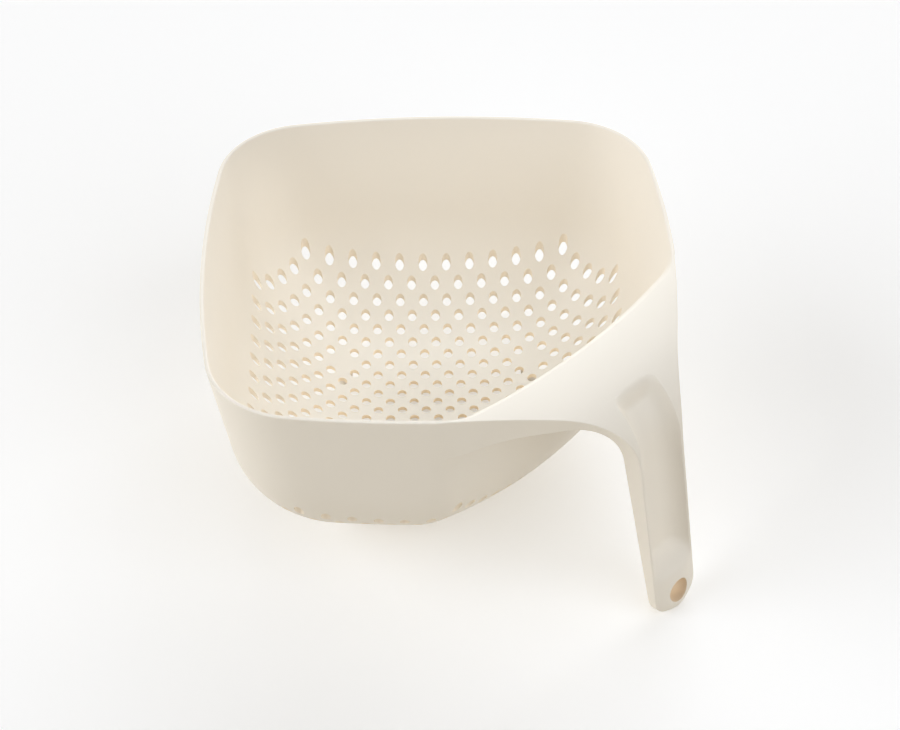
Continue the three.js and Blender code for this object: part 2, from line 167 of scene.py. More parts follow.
def at_level(drop, push, blunt_out=0.0):
    """The same, near the rim, set at an exact distance below it."""
    ring = bowl_ring(DEPTH - max(drop, 0), push, blunt_out)
    ring[:, 2] = RIM_Z - drop
    return ring


def skin(name, mark, rings, first_up=None, closing=()):
    """A closed skin through rings of equal count, whose true normals are kept. The closing rings
    only close the form, where no surface of the object is."""
    grid = np.array(rings)
    around = np.roll(grid, -1, 1) - np.roll(grid, 1, 1)
    up = np.empty_like(grid)
    up[1:-1] = grid[2:] - grid[:-2]
    up[0], up[-1] = grid[1] - grid[0], grid[-1] - grid[-2]
    normal = np.cross(around, up)
    normal /= np.maximum(np.linalg.norm(normal, axis=2), TINY)[..., None]
    if first_up is not None:
        normal[0] = (0, 0, first_up)
    every = np.concatenate([grid, *[np.array(ring)[None] for ring in closing]])
    count, size = every.shape[:2]
    verts = every.reshape(-1, 3).tolist() + [every[0].mean(0).tolist(), every[-1].mean(0).tolist()]
    faces = []
    for r in range(count - 1):
        for i in range(size):
            j = (i + 1) % size
            faces.append((r * size + i, r * size + j, (r + 1) * size + j, (r + 1) * size + i))
    last = (count - 1) * size
    for i in range(size):
        j = (i + 1) % size
        faces.append((count * size, j, i))
        faces.append((count * size + 1, last + i, last + j))
    normals = np.zeros((len(verts), 3))
    normals[: grid.shape[0] * size] = normal.reshape(-1, 3)
    for ring in range(grid.shape[0], count):
        normals[ring * size:(ring + 1) * size] = normal[-1]
    normals[-2] = normal[0].mean(0)
    normals[-1] = normal[-1].mean(0)
    tris = []
    for face in faces:
        tris.append(face[:3])
        if len(face) == 4:
            tris.append((face[0], face[2], face[3]))
    tree = BVHTree.FromPolygons([Vector(v) for v in verts], tris)
    skins[mark] = (tree, tris, np.array(verts), normals)
    return form(name, verts, faces, mark)


def form(name, verts, faces, mark):
    """A closed mesh object whose faces all bear one mark."""
    mesh = bpy.data.meshes.new(name)
    mesh.from_pydata(verts, [], faces)
    for material in skin_marks:
        mesh.materials.append(material)
    mesh.polygons.foreach_set("material_index", [mark] * len(mesh.polygons))
    piece = bpy.data.objects.new(name, mesh)
    bpy.context.scene.collection.objects.link(piece)
    return piece


quarter = [math.radians(a) for a in range(0, 91, 15)]
heights = [DISH_RADIUS * (1 - math.cos(wall_slope * i / DISH_STEPS)) for i in range(DISH_STEPS + 1)]
straight = DEPTH - SHELF_ROUND
heights += [lerp(heights[DISH_STEPS], straight, (i + 1) / WALL_STEPS) for i in range(WALL_STEPS)]
outside_rings = [bowl_ring(height, WALL) for height in heights]
outside_rings += [
    at_level(RIM_ROUND * (1 - math.sin(a)), WALL - RIM_ROUND * (1 - math.cos(a))) for a in quarter
]
bowl_outside = skin("bowl_outside", OUTSIDE, outside_rings, first_up=-1)

inside_rings = [bowl_ring(height, 0) for height in heights]
drops = [SHELF_ROUND * (1 - math.sin(math.radians(a))) for a in LIP_ANGLES]
drops += [RIM_ROUND * (1 - math.sin(a)) for a in quarter]
for drop in drops:
    share = 1 - drop / SHELF_ROUND
    lip = max(1 - drop / RIM_ROUND, 0)
    flare = RIM_ROUND * (1 - math.sqrt(1 - lip ** 2))
    shelf_out = SHELF_ROUND * (1 - math.sqrt(1 - share ** 2))
    inside_rings.append(at_level(drop, flare, shelf_out - flare))
above = inside_rings[-1] + (0, 0, WALL)
bowl_inside = skin("bowl_inside", INSIDE, inside_rings, first_up=-1, closing=[above])

# ---------------------------------------------------------------------------
# The drain holes, round pins of the mould drawn straight up through the floor and the lower wall
# on one square lattice, in rows along and across the handle. None stands over a foot.
# ---------------------------------------------------------------------------
HOLE_PITCH = 8.8
HOLE_RADIUS = 2.4
HOLE_REACH, HOLE_SIDES, HOLE_FRONT = 13, 15, 8
HOLE_TOP = 53.6
HOLE_FACETS = 28
FOOT_PLACES = {"foot_back": (-8, 0), "foot_left": (0, 8), "foot_right": (0, -8), "foot_front": (4, 0)}


def pins(places, radius, low, high, facets):
    verts, faces = [], []
    for x, y in places:
        start = len(verts)
        for z in (low, high):
            for k in range(facets):
                angle = 2 * math.pi * k / facets
                verts.append((x + radius * math.cos(angle), y + radius * math.sin(angle), z))
        for k in range(facets):
            j = (k + 1) % facets
            faces.append((start + k, start + j, start + facets + j, start + facets + k))
        faces.append(tuple(start + k for k in reversed(range(facets))))
        faces.append(tuple(start + facets + k for k in range(facets)))
    return verts, faces


hole_places = [
    (column * HOLE_PITCH, row * HOLE_PITCH)
    for column in range(-HOLE_REACH, HOLE_FRONT + 1)
    for row in range(-HOLE_REACH, HOLE_REACH + 1)
    if abs(column) + abs(row) <= HOLE_SIDES and (column, row) not in FOOT_PLACES.values()
]
verts, faces = pins(hole_places, HOLE_RADIUS, FOOT_HEIGHT - WALL, FLOOR_Z + HOLE_TOP, HOLE_FACETS)
drain_holes = form("drain_holes", verts, faces, HOLE)

# ---------------------------------------------------------------------------
# The shelf and the handle, moulded with the bowl. A thin shelf with a skirt down each edge runs
# out level, falls over a crown and a shoulder and draws in to a solid grip that leans down to the
# table. A long scoop for the thumb is sunk in its face, and its end is swollen and rounded.
# ---------------------------------------------------------------------------
CROWN_START, CROWN_RADIUS, CROWN_TURN = 85.5, 120.0, math.radians(13.3)
SHOULDER_RADIUS = 37.3
LEAN = math.radians(10.1)
TIP_CLEAR = 0.5
SHELF_TAIL = 27.5
EDGE_DRAW, EDGE_DRAW_TO, EDGE_FROM, EDGE_TO = 2.0, 22.0, 30.0, 74.0
GRIP_HALF, TIP_HALF, TIP_ROUND, TIP_SQUARE = 15.5, 14.4, 12.0, 2.5
SHEET = 2.4
TAIL_INSET = 0.5
SKIRT_INSET, SKIRT_THICK, SKIRT_START, SKIRT_EDGE, SKIRT_FADE = 0.05, 2.2, 23.5, 3.5, 33.0
CLOSE_FROM, CLOSE_TO = 30.0, 68.0
GRIP_SIDE, TIP_SIDE, GRIP_THICK, TIP_THICK = 10.5, 4.5, 12.8, 9.0
EDGE_ROUND = 0.8
CORNER_ROUND = 1.1
SCOOP_DEPTH, SCOOP_HALF, SCOOP_FROM, SCOOP_CORNER, SCOOP_TO = 7.4, 13.8, 35.0, 6.0, 21.0
SCOOP_TOP_FADE, SCOOP_END_FADE, SCOOP_STEEP = 11.0, 14.0, 3.2
BACK_WALL = 3.0
TIP_CROWN, CROWN_LAP = 2.75, 4.0
TIP_EDGE = 6.0
HEEL_ROUND = 2.0
# The least share of the width and thickness that is left at the very tip
TIP_LEAST = 0.01
NUDGE = 0.01
# How the section and the length of the handle are divided
FACE_SHARES = np.array([*np.linspace(0, 0.8, 9), 0.86, 0.91, 0.95, 0.98, 1.0])
SIDE_SHARES, INNER_SHARES = (0.15, 0.5, 0.85), (0.3, 0.7)
ROOT_SHARE, UNDER_STEPS = 0.985, 12
ROUND_SHARE, ROUND_STEPS = 0.45, 5
SCOOP_MARGIN, FACE_MARGIN, FACE_GAP = 0.4, 1, 0.02
SHELF_STEP, SCOOP_STEP, SCOOP_TOP = 2.5, 0.8, 8
BEND_STEPS, GRIP_STEPS, END_ANGLE = 18, 50, 6

crown_length = CROWN_RADIUS * CROWN_TURN
shoulder_end = crown_length + SHOULDER_RADIUS * (math.pi / 2 - CROWN_TURN - LEAN)
crown_centre = np.array([CROWN_START, RIM_Z - CROWN_RADIUS])
shoulder_centre = crown_centre + (CROWN_RADIUS - SHOULDER_RADIUS) * np.array(
    [math.sin(CROWN_TURN), math.cos(CROWN_TURN)]
)
grip_top = shoulder_centre + SHOULDER_RADIUS * np.array([math.cos(LEAN), math.sin(LEAN)])
spine_end = shoulder_end + (grip_top[1] - TIP_CLEAR) / math.cos(LEAN)


def spine(length):
    """The place on the handle's face, walked from where the shelf starts to fall, and its lean."""
    if length < 0:
        return CROWN_START + length, RIM_Z, math.pi / 2
    if length < crown_length:
        face = math.pi / 2 - length / CROWN_RADIUS
        at = crown_centre + CROWN_RADIUS * np.array([math.cos(face), math.sin(face)])
        return at[0], at[1], face
    if length < shoulder_end:
        face = math.pi / 2 - CROWN_TURN - (length - crown_length) / SHOULDER_RADIUS
        at = shoulder_centre + SHOULDER_RADIUS * np.array([math.cos(face), math.sin(face)])
        return at[0], at[1], face
    down = length - shoulder_end
    return grip_top[0] + down * math.sin(LEAN), grip_top[1] - down * math.cos(LEAN), LEAN


def side_line(length):
    """Half the shelf's width, where its edge follows the outside of the bowl's straight sides."""
    centre = (MOUTH_HALF + WALL - SIDE_BOW) * math.sqrt(0.5)
    line = centre + math.sqrt(SIDE_BOW ** 2 - (spine(length)[0] - centre) ** 2)
    sunk = TAIL_INSET * (1 - smooth(length, -SHELF_TAIL, -SHELF_TAIL / 2))
    return line - SKIRT_INSET - sunk - EDGE_DRAW * smooth(length, -EDGE_DRAW_TO, EDGE_DRAW_TO)


def face_half(length):
    """Half the width of the face, drawn in from the shelf's to the grip's over the shoulder."""
    if length < EDGE_FROM:
        return side_line(length)
    if length < EDGE_TO:
        slope = (side_line(EDGE_FROM) - side_line(EDGE_FROM - NUDGE)) / NUDGE
        pull = slope * (EDGE_TO - EDGE_FROM) / 3
        t = (length - EDGE_FROM) / (EDGE_TO - EDGE_FROM)
        start = side_line(EDGE_FROM)
        held = (1 - t) ** 3 * start + 3 * (1 - t) ** 2 * t * (start + pull)
        return held + (3 * (1 - t) * t ** 2 + t ** 3) * GRIP_HALF
    return lerp(GRIP_HALF, TIP_HALF, min((length - EDGE_TO) / (spine_end - TIP_ROUND - EDGE_TO), 1))


def rounded(before, at, after, radius):
    """A corner of the section, rounded between its two straights."""
    a, b = before - at, after - at
    la, lb = np.linalg.norm(a), np.linalg.norm(b)
    reach = min(radius, ROUND_SHARE * la, ROUND_SHARE * lb)
    p, q = at + a / la * reach, at + b / lb * reach
    t = np.linspace(0, 1, ROUND_STEPS)[:, None]
    return (1 - t) ** 2 * p + 2 * t * (1 - t) * at + t ** 2 * q


def section(length):
    """One slice square to the spine, once round from the middle of the face."""
    x, z, face = spine(length)
    to_tip = spine_end - length
    into = max(1 - to_tip / TIP_ROUND, 0)
    tip = max(1 - into ** TIP_SQUARE, TIP_LEAST) ** (1 / TIP_SQUARE)
    half = face_half(length) * tip
    thin = math.sqrt(max(1 - max(1 - to_tip / TIP_EDGE, 0) ** 2, TIP_LEAST))
    as_grip = float(smooth(length, CLOSE_FROM, CLOSE_TO))
    if length < 0:
        skirt = SKIRT_START - length * (SKIRT_START - SKIRT_EDGE) / SKIRT_FADE
    else:
        skirt = SKIRT_EDGE + (SKIRT_START - SKIRT_EDGE) * math.exp(-length / SKIRT_FADE)
    down = max((length - shoulder_end) / (spine_end - shoulder_end), 0)
    middle = thin * lerp(GRIP_THICK, TIP_THICK, down)
    side = thin * lerp(skirt, lerp(GRIP_SIDE, TIP_SIDE, down), as_grip)
    draft = (1 - as_grip) * side * math.sqrt(2) / math.tan(wall_slope)

    deep = float(smooth(length, SCOOP_FROM, SCOOP_FROM + SCOOP_TOP_FADE))
    deep *= float(smooth(to_tip, SCOOP_TO, SCOOP_TO + SCOOP_END_FADE))
    opened = min((length - SCOOP_FROM) / SCOOP_CORNER, 1)
    wide = 0.0
    if opened > 0:
        narrow = (SCOOP_CORNER / SCOOP_HALF) * (1 - math.sqrt(1 - (1 - opened) ** 2))
        wide = min(SCOOP_HALF * (1 - narrow), half - EDGE_ROUND - SCOOP_MARGIN)
    swell = TIP_CROWN * (1 - float(smooth(to_tip, SCOOP_TO - CROWN_LAP, SCOOP_TO + SCOOP_END_FADE)))

    def dip(y):
        return SCOOP_DEPTH * deep * (1 - np.minimum(np.abs(y) / max(wide, 1), 1) ** SCOOP_STEEP)

    def crown(y):
        return swell * math.sqrt(thin) * (1 - (y / half) ** 2)

    reach = wide if wide > 0 else half - EDGE_ROUND - FACE_MARGIN
    face_y = FACE_SHARES * min(reach, half - EDGE_ROUND - FACE_GAP)
    face_points = np.stack([face_y, crown(face_y) - dip(face_y)], 1)

    inner = half - draft - SKIRT_THICK * tip

    def back(y):
        grip = side + (middle - side) * (1 - (y / half) ** 2)
        return np.maximum(lerp(SHEET, grip, as_grip), dip(y) + lerp(BACK_WALL, 0, as_grip))

    top = np.array([half, 0.0])
    foot = np.array([half - draft, -side])
    heel = np.array([inner, -side])
    root_y = inner * ROOT_SHARE
    root = np.array([root_y, -float(back(root_y))])
    under_y = root_y * np.linspace(1, 0, UNDER_STEPS)
    under = np.stack([under_y, -back(under_y)], 1)
    a = rounded(face_points[-1], top, foot, EDGE_ROUND)
    b = rounded(top, foot, heel, CORNER_ROUND)
    c = rounded(foot, heel, root, CORNER_ROUND)
    d = rounded(heel, root, under[1], HEEL_ROUND)
    sides = [lerp(a[-1], b[0], t) for t in SIDE_SHARES]
    inners = [lerp(c[-1], d[0], t) for t in INNER_SHARES]
    right = np.concatenate([face_points, a, sides, b, c, inners, d, under[2:]])
    left = right[1:-1][::-1] * (-1, 1)
    around = np.concatenate([right, left])[::-1]
    points = np.empty((len(around), 3))
    points[:, 0] = x + math.cos(face) * around[:, 1]
    points[:, 1] = around[:, 0]
    points[:, 2] = z + math.sin(face) * around[:, 1]
    return points


stops = list(np.arange(-SHELF_TAIL, SCOOP_FROM, SHELF_STEP))
stops += list(np.arange(SCOOP_FROM, SCOOP_FROM + SCOOP_TOP, SCOOP_STEP))
stops += list(np.linspace(SCOOP_FROM + SCOOP_TOP, EDGE_TO, BEND_STEPS, endpoint=False))
stops += list(np.linspace(EDGE_TO, spine_end - TIP_ROUND, GRIP_STEPS, endpoint=False))
stops += [spine_end - TIP_ROUND * (1 - math.sin(math.radians(a))) for a in range(0, 91, END_ANGLE)]
handle_form = skin("handle_form", HANDLE, [section(length) for length in stops])

# ---------------------------------------------------------------------------
# The hanging eye, which takes a hook or a cord. A round pin of the mould stands square through the
# swollen end of the handle, so the eye's wall is the same plastic as all the rest.
# ---------------------------------------------------------------------------
EYE_RADIUS = 6.3
EYE_EDGE = 4.1
EYE_PIN, EYE_FACETS = 40, 64
eye_x, eye_z, _ = spine(spine_end - EYE_EDGE - EYE_RADIUS)
verts, faces = pins([(0, 0)], EYE_RADIUS, -EYE_PIN, EYE_PIN, EYE_FACETS)
eye_turn = Matrix.Translation((eye_x, 0, eye_z)) @ Matrix.Rotation(math.pi / 2 - LEAN, 4, "Y")
hanging_eye = form("hanging_eye", [tuple(eye_turn @ Vector(v)) for v in verts], faces, EYE)
eye_axis = np.array([math.cos(LEAN), 0, math.sin(LEAN)])

# ---------------------------------------------------------------------------
# Four feet, short round pegs moulded under the dish, that lift it off the table so that it can
# drain. They taper towards the table and have softened ends.
# ---------------------------------------------------------------------------
FOOT_TOP, FOOT_BOTTOM = 8.6, 7.6
FOOT_ROUND = 0.7
FOOT_INSET = 1.2
FOOT_ROOT, FOOT_FACETS = 16.0, 48
feet_at = {
    foot: [place * HOLE_PITCH - FOOT_INSET * np.sign(place) for place in places]
    for foot, places in FOOT_PLACES.items()
}
verts, faces = [], []
for foot_x, foot_y in feet_at.values():
    taper = (FOOT_TOP - FOOT_BOTTOM) / FOOT_HEIGHT / 2
    profile = [
        (FOOT_BOTTOM / 2 - FOOT_ROUND * (1 - math.sin(a)), FOOT_ROUND * (1 - math.cos(a)))
        for a in quarter
    ]
    profile.append((FOOT_BOTTOM / 2 + taper * FOOT_ROOT, FOOT_ROOT))
    start, size = len(verts), FOOT_FACETS
    for radius, z in profile:
        for k in range(size):
            angle = 2 * math.pi * k / size
            verts.append((foot_x + radius * math.cos(angle), foot_y + radius * math.sin(angle), z))
    for r in range(len(profile) - 1):
        for k in range(size):
            j = (k + 1) % size
            low, high = start + r * size, start + (r + 1) * size
            faces.append((low + k, low + j, high + j, high + k))
    faces.append(tuple(start + k for k in reversed(range(size))))
    faces.append(tuple(start + (len(profile) - 1) * size + k for k in range(size)))
feet = form("feet", verts, faces, FOOT)

# ---------------------------------------------------------------------------
# The plastic: cream polypropylene from a finely spark-eroded mould. It is the same all through,
# satin rather than shiny, with a grain too fine to feel and the faint cloudiness of moulded resin.
# ---------------------------------------------------------------------------
CREAM = (0.910, 0.856, 0.768, 1)
CREAM_CLOUD = (0.898, 0.842, 0.750, 1)
REFRACTION, SHINE = 1.49, 0.45
CLOUD_SCALE, CLOUD_DETAIL = 22, 3
GRAIN_SCALE, GRAIN_DETAIL = 2600, 2
GRAIN_STRENGTH, GRAIN_DEPTH = 0.12, 0.00012
SMOOTHEST, ROUGHEST = 0.40, 0.56

plastic = bpy.data.materials.new("cream_polypropylene")
plastic.use_nodes = True
nodes, links = plastic.node_tree.nodes, plastic.node_tree.links
finish = nodes["Principled BSDF"]
finish.inputs["IOR"].default_value = REFRACTION
finish.inputs["Specular IOR Level"].default_value = SHINE
place = nodes.new("ShaderNodeTexCoord")
cloud = nodes.new("ShaderNodeTexNoise")
cloud.inputs["Scale"].default_value = CLOUD_SCALE
cloud.inputs["Detail"].default_value = CLOUD_DETAIL
tint = nodes.new("ShaderNodeMix")
tint.data_type = "RGBA"
tint.inputs["A"].default_value = CREAM
tint.inputs["B"].default_value = CREAM_CLOUD
grain = nodes.new("ShaderNodeTexNoise")
grain.inputs["Scale"].default_value = GRAIN_SCALE
grain.inputs["Detail"].default_value = GRAIN_DETAIL
bump = nodes.new("ShaderNodeBump")
bump.inputs["Strength"].default_value = GRAIN_STRENGTH
bump.inputs["Distance"].default_value = GRAIN_DEPTH
gloss = nodes.new("ShaderNodeMapRange")
gloss.inputs["To Min"].default_value = SMOOTHEST
gloss.inputs["To Max"].default_value = ROUGHEST
links.new(place.outputs["Object"], cloud.inputs["Vector"])
links.new(place.outputs["Object"], grain.inputs["Vector"])
links.new(cloud.outputs["Fac"], tint.inputs["Factor"])
links.new(tint.outputs["Result"], finish.inputs["Base Color"])
links.new(grain.outputs["Fac"], bump.inputs["Height"])
links.new(bump.outputs["Normal"], finish.inputs["Normal"])
links.new(cloud.outputs["Fac"], gloss.inputs["Value"])
links.new(gloss.outputs["Result"], finish.inputs["Roughness"])

# Painted light: the walls of the holes and of the eye get a darker, warmer cream, which is painted
# shade, and a faint painted glow, both standing in for light that comes through the thin plastic.
HOLE_PAINTED_SHADE = (0.87, 0.80, 0.69, 1)
HOLE_PAINTED_GLOW = (0.17, 0.11, 0.05, 1)
PAINTED_GLOW_LOW, PAINTED_GLOW_HIGH, PAINTED_GLOW_LEAST = 0.013, 0.030, 0.3
EYE_PAINTED_SHADE = (0.80, 0.71, 0.57, 1)
EYE_PAINTED_GLOW = (0.05, 0.02, 0.005, 1)


def with_painted_light(name, cream, glow):
    """The same plastic with a plain, darker cream of painted shade and a faint painted glow."""
    copied = plastic.copy()
    copied.name = name
    tree = copied.node_tree
    inputs = tree.nodes["Principled BSDF"].inputs
    tree.links.remove(inputs["Base Color"].links[0])
    inputs["Base Color"].default_value = cream
    inputs["Emission Color"].default_value = glow
    inputs["Emission Strength"].default_value = 1
    return copied


plastic_with_painted_eye_light = with_painted_light("cream_polypropylene_painted_eye_light", EYE_PAINTED_SHADE, EYE_PAINTED_GLOW)
plastic_with_painted_hole_light = with_painted_light("cream_polypropylene_painted_hole_light", HOLE_PAINTED_SHADE, HOLE_PAINTED_GLOW)
nodes, links = plastic_with_painted_hole_light.node_tree.nodes, plastic_with_painted_hole_light.node_tree.links
# The painted glow in the holes is strongest at the lowest holes and fades with height to under a third.
surface = nodes.new("ShaderNodeNewGeometry")
apart = nodes.new("ShaderNodeSeparateXYZ")
painted_glow_by_height = nodes.new("ShaderNodeMapRange")
painted_glow_by_height.inputs["From Min"].default_value = PAINTED_GLOW_LOW
painted_glow_by_height.inputs["From Max"].default_value = PAINTED_GLOW_HIGH
painted_glow_by_height.inputs["To Min"].default_value = 1
painted_glow_by_height.inputs["To Max"].default_value = PAINTED_GLOW_LEAST
links.new(surface.outputs["Position"], apart.inputs["Vector"])
links.new(apart.outputs["Z"], painted_glow_by_height.inputs["Value"])
links.new(painted_glow_by_height.outputs["Result"], nodes["Principled BSDF"].inputs["Emission Strength"])

# ---------------------------------------------------------------------------
# The moulding as it leaves the mould: the skins joined and the bowl's space, the drain holes and
# the eye taken out of them. Each region of it then becomes a piece of its own, closed where it
# meets the next, over the node that it dresses.
# ---------------------------------------------------------------------------
# How upright a hole's wall and how level a foot's sole is, as the upward part of its normal
HOLE_UPRIGHT, SOLE_LEVEL = 0.5, 0.9


def joined(piece, *steps):
    """A mesh of the piece with other forms joined to it, cut from it or laid over it in turn."""
    for operation, other in steps:
        tool = piece.modifiers.new(other.name, "BOOLEAN")
        tool.solver = "MANIFOLD"
        tool.operation = operation
        tool.object = other
    bpy.context.view_layer.update()
    graph = bpy.context.evaluated_depsgraph_get()
    mesh = bpy.data.meshes.new_from_object(piece.evaluated_get(graph))
    piece.modifiers.clear()
    return mesh


moulded = bpy.data.objects.new("moulding", joined(
    bowl_outside, ("UNION", handle_form), ("UNION", feet), ("DIFFERENCE", bowl_inside),
    ("DIFFERENCE", drain_holes), ("DIFFERENCE", hanging_eye),
))
bpy.context.scene.collection.objects.link(moulded)


def skin_normal(mark, at, flat):
    """The true normal of the finished surface at a point on one of its skins."""
    if mark in skins:
        tree, tris, verts, normals = skins[mark]
        spot, _, index, _ = tree.find_nearest(at)
        a, b, c = tris[index]
        turned = barycentric_transform(
            spot, *(Vector(verts[i]) for i in (a, b, c)), *(Vector(normals[i]) for i in (a, b, c))
        )
        return -turned if mark == INSIDE else turned
    if mark == HOLE and abs(flat.z) < HOLE_UPRIGHT:
        column, row = round(at.x / HOLE_PITCH), round(at.y / HOLE_PITCH)
        return Vector((column * HOLE_PITCH - at.x, row * HOLE_PITCH - at.y, 0))
    if mark == EYE:
        out = np.array(at) - (eye_x, 0, eye_z)
        return Vector(out @ np.outer(eye_axis, eye_axis) - out)
    if mark == FOOT and flat.z > -SOLE_LEVEL:
        foot_x, foot_y = min(feet_at.values(), key=lambda p: math.dist(p, at.xy))
        side = Vector((at.x - foot_x, at.y - foot_y, 0)).normalized()
        rise = min(max(1 - at.z / FOOT_ROUND, 0), 1)
        return side * math.sqrt(1 - rise ** 2) + Vector((0, 0, -rise))
    return flat


BLEND_TURN = math.cos(math.radians(28))
pieces = bpy.data.collections.new("colander")
left_x, right_x = (corner.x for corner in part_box("foot_left"))
bowl_x = (left_x + right_x) / 2
to_metres = Matrix.Translation((bowl_x, 0, 0)) @ Matrix.Scale(0.001, 4)


def dress(name, node, low, high):
    """Cuts one region out of the moulding, gives it its true normals and puts it over its node."""
    verts = [(x, y, z) for z in (low[2], high[2]) for x, y in (
        (low[0], low[1]), (high[0], low[1]), (high[0], high[1]), (low[0], high[1])
    )]
    faces = [(3, 2, 1, 0), (4, 5, 6, 7), (0, 1, 5, 4), (1, 2, 6, 5), (2, 3, 7, 6), (3, 0, 4, 7)]
    room = form(name + "_room", verts, faces, PARTING)
    mesh = joined(moulded, ("INTERSECT", room))
    bpy.data.objects.remove(room)
    loops = len(mesh.loops)
    corner = np.zeros(loops, int)
    mesh.loops.foreach_get("vertex_index", corner)
    normals = np.zeros((loops, 3))
    at_vertex = {}
    for polygon in mesh.polygons:
        mark, flat = polygon.material_index, polygon.normal
        for loop in polygon.loop_indices:
            vertex = corner[loop]
            key = (vertex, mark) if mark not in (HOLE, FOOT, PARTING) else None
            found = at_vertex.get(key) if key else None
            if found is None:
                found = skin_normal(mark, mesh.vertices[vertex].co, flat).normalized()
                if key:
                    at_vertex[key] = found
            normals[loop] = found
    # Where the shelf's edge runs into the bowl's side the two skins pass into each other.
    for (vertex, mark), normal in list(at_vertex.items()):
        other = at_vertex.get((vertex, OUTSIDE if mark == HANDLE else HANDLE))
        if mark in (OUTSIDE, HANDLE) and other is not None and normal.dot(other) > BLEND_TURN:
            at_vertex[(vertex, mark)] = (normal + other).normalized()
    for polygon in mesh.polygons:
        if polygon.material_index in (OUTSIDE, HANDLE):
            for loop in polygon.loop_indices:
                normals[loop] = at_vertex[(corner[loop], polygon.material_index)]
    mesh.polygons.foreach_set("use_smooth", [True] * len(mesh.polygons))
    # The walls of the holes and of the eye take the plastic with painted shade and painted glow; all
    # else takes the plain plastic.
    plastic_or_painted_light = [{HOLE: 1, EYE: 2}.get(polygon.material_index, 0) for polygon in mesh.polygons]
    mesh.materials.clear()
    for plastic_or_painted_light_of_skin in (plastic, plastic_with_painted_hole_light, plastic_with_painted_eye_light):
        mesh.materials.append(plastic_or_painted_light_of_skin)
    mesh.polygons.foreach_set("material_index", plastic_or_painted_light)
    mesh.transform(to_metres)
    mesh.normals_split_custom_set(normals.tolist())
    mesh.name = name
    piece = bpy.data.objects.new(name, mesh)
    bpy.context.scene.collection.objects.link(piece)
    pieces.objects.link(piece)
    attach(piece, "root")
    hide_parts(node)
    return piece


FAR = 400.0
UNDER_TABLE = -1
SHELF_CUT = BLUNT_REACH + SHELF_ROUND
DISH_RISE, HOLE_CLEAR, RIM_DROP, SHOULDER_DROP = 8.5, 5.7, 3, 29.3
DISH_CUT, WALL_CUT = FLOOR_Z + DISH_RISE, FLOOR_Z + HOLE_TOP + HOLE_CLEAR
RIM_CUT, GRIP_CUT = RIM_Z - RIM_DROP, RIM_Z - SHOULDER_DROP
FOOT_CUT, END_CUT = 5.0, 22.0
FOOT_ROOM = 8
PART_ROW = 6.5 * HOLE_PITCH

dress("dished_floor", "strainer_floor", (-FAR, -FAR, FOOT_CUT), (SHELF_CUT, FAR, DISH_CUT))
for band, low, high in (("strainer_wall", DISH_CUT, WALL_CUT), ("bowl_wall", WALL_CUT, RIM_CUT)):
    dress(f"moulded_{band}_back", f"{band}_back", (-FAR, -PART_ROW, low), (0, PART_ROW, high))
    dress(f"moulded_{band}_front", f"{band}_front", (0, -PART_ROW, low), (SHELF_CUT, PART_ROW, high))
    dress(f"moulded_{band}_left", f"{band}_left", (-FAR, PART_ROW, low), (SHELF_CUT, FAR, high))
    dress(f"moulded_{band}_right", f"{band}_right", (-FAR, -FAR, low), (SHELF_CUT, -PART_ROW, high))
dress("rolled_rim", "rim", (-FAR, -FAR, RIM_CUT), (SHELF_CUT, FAR, FAR))
dress("shelf_and_crown", "corner_shelf", (SHELF_CUT, -FAR, GRIP_CUT), (FAR, FAR, FAR))
dress("scooped_grip", "handle_grip", (SHELF_CUT, -FAR, END_CUT), (FAR, FAR, GRIP_CUT))
dress("handle_end_with_eye", "handle_end", (SHELF_CUT, -FAR, UNDER_TABLE), (FAR, FAR, END_CUT))
for foot, (x, y) in feet_at.items():
    low, high = (x - FOOT_ROOM, y - FOOT_ROOM, UNDER_TABLE), (x + FOOT_ROOM, y + FOOT_ROOM, FOOT_CUT)
    dress(f"peg_{foot}", foot, low, high)

for spare in (moulded, bowl_outside, bowl_inside, handle_form, feet, drain_holes, hanging_eye):
    bpy.data.objects.remove(spare)
for mark in skin_marks:
    bpy.data.materials.remove(mark)

# ---------------------------------------------------------------------------
# The studio: a pale table that runs up into white, four broad soft lights from around and above,
# a lamp over the bowl that lights the colander alone, and the camera where the photograph was
# taken from.
# ---------------------------------------------------------------------------
WHITE = 0.947
TABLE_HALF, TABLE_ROUGHNESS = 6, 0.9
# Painted light: in the light that the table throws back it has a warm colour, which stands in for warm
# light shining through the plastic onto the colander. The camera sees a cooler colour under an even
# warm glow, which keep the open table white and leave a painted warm tint in its shadow.
TABLE_PAINTED_WARM_BOUNCE = (0.82, 0.775, 0.68, 1)
TABLE_SEEN = (0.72, 0.76, 0.83, 1)
TABLE_GLOW = (0.383, 0.352, 0.298, 1)
# Each broad light's height and direction in degrees, and its strength
BROAD_LIGHTS = [(20, 120, 2.03), (20, 236, 2.26), (35, 0, 1.28), (50, 60, 0.41)]
BROAD_SPREAD = math.radians(60)
BOWL_LIGHT_UP, BOWL_LIGHT_STRENGTH = 1.5, 30
BOWL_LIGHT_REACH, BOWL_LIGHT_SIZE, BOWL_LIGHT_BLEND = 0.125, 0.08, 0.4
BOWL_LIGHT_TINT = (0.85, 0.93, 1)
LENS, SENSOR = 91.016, 36
CAMERA_PLACE = (0.566606, -0.606624, 0.830277)
CAMERA_TURN = (47.3128, -0.0708, 43.3131)


def staged(name, data):
    placed = bpy.data.objects.new(name, data)
    bpy.context.scene.collection.objects.link(placed)
    return placed


def background_rays(nodes, links):
    """Gives 1 for a ray that shows the background, straight on or in a reflection, and 0 for others."""
    ray = nodes.new("ShaderNodeLightPath")
    shown = ray.outputs["Is Camera Ray"]
    for kind in ("Is Glossy Ray", "Is Transmission Ray"):
        either = nodes.new("ShaderNodeMath")
        either.operation = "MAXIMUM"
        links.new(shown, either.inputs[0])
        links.new(ray.outputs[kind], either.inputs[1])
        shown = either.outputs["Value"]
    return shown


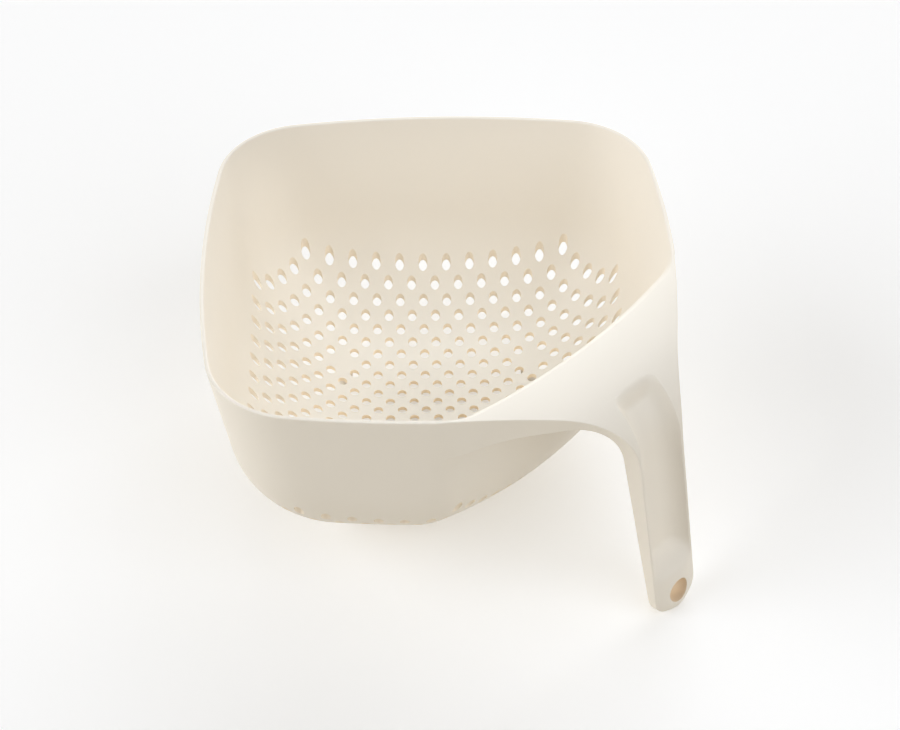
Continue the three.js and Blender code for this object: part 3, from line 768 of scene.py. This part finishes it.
table = bpy.data.meshes.new("table")
corners = ((-1, -1), (1, -1), (1, 1), (-1, 1))
table.from_pydata([(x * TABLE_HALF, y * TABLE_HALF, 0) for x, y in corners], [], [(0, 1, 2, 3)])
staged("table", table)
paper = bpy.data.materials.new("pale_table")
paper.use_nodes = True
nodes, links = paper.node_tree.nodes, paper.node_tree.links
sheet = nodes["Principled BSDF"]
sheet.inputs["Roughness"].default_value = TABLE_ROUGHNESS
sheet.inputs["Specular IOR Level"].default_value = 0
sheet.inputs["Emission Color"].default_value = TABLE_GLOW
looking = background_rays(nodes, links)
seen_or_painted_bounce_tone = nodes.new("ShaderNodeMix")
seen_or_painted_bounce_tone.data_type = "RGBA"
seen_or_painted_bounce_tone.inputs["A"].default_value = TABLE_PAINTED_WARM_BOUNCE
seen_or_painted_bounce_tone.inputs["B"].default_value = TABLE_SEEN
links.new(looking, seen_or_painted_bounce_tone.inputs["Factor"])
links.new(looking, sheet.inputs["Emission Strength"])
links.new(seen_or_painted_bounce_tone.outputs["Result"], sheet.inputs["Base Color"])
table.materials.append(paper)

for height, way, strength in BROAD_LIGHTS:
    broad = bpy.data.lights.new(f"broad_light_{way}", "SUN")
    broad.energy = strength
    broad.angle = BROAD_SPREAD
    up, round_way = math.radians(height), math.radians(way)
    toward = Vector((math.cos(round_way), math.sin(round_way), math.tan(up)))
    staged(broad.name, broad).rotation_euler = toward.to_track_quat("Z", "Y").to_euler()

bowl_light = bpy.data.lights.new("bowl_light", "SPOT")
bowl_light.energy = BOWL_LIGHT_STRENGTH
bowl_light.color = BOWL_LIGHT_TINT
bowl_light.spot_size = 2 * math.atan(BOWL_LIGHT_REACH / (BOWL_LIGHT_UP - RIM_Z / 1000))
bowl_light.spot_blend = BOWL_LIGHT_BLEND
bowl_light.shadow_soft_size = BOWL_LIGHT_SIZE
hung = staged("bowl_light", bowl_light)
hung.location = (bowl_x, 0, BOWL_LIGHT_UP)
hung.light_linking.receiver_collection = pieces

room = bpy.data.worlds.new("white_room")
room.use_nodes = True
bpy.context.scene.world = room
nodes, links = room.node_tree.nodes, room.node_tree.links
nodes["Background"].inputs["Color"].default_value = (1, 1, 1, 1)
shown = nodes.new("ShaderNodeMath")
shown.operation = "MULTIPLY"
shown.inputs[1].default_value = WHITE
links.new(background_rays(nodes, links), shown.inputs[0])
links.new(shown.outputs["Value"], nodes["Background"].inputs["Strength"])

view = bpy.data.cameras.new("camera")
view.sensor_width = SENSOR
view.lens = LENS
camera = staged("camera", view)
camera.location = CAMERA_PLACE
camera.rotation_euler = [math.radians(a) for a in CAMERA_TURN]
bpy.context.scene.camera = camera
bpy.context.scene.view_settings.view_transform = "Standard"
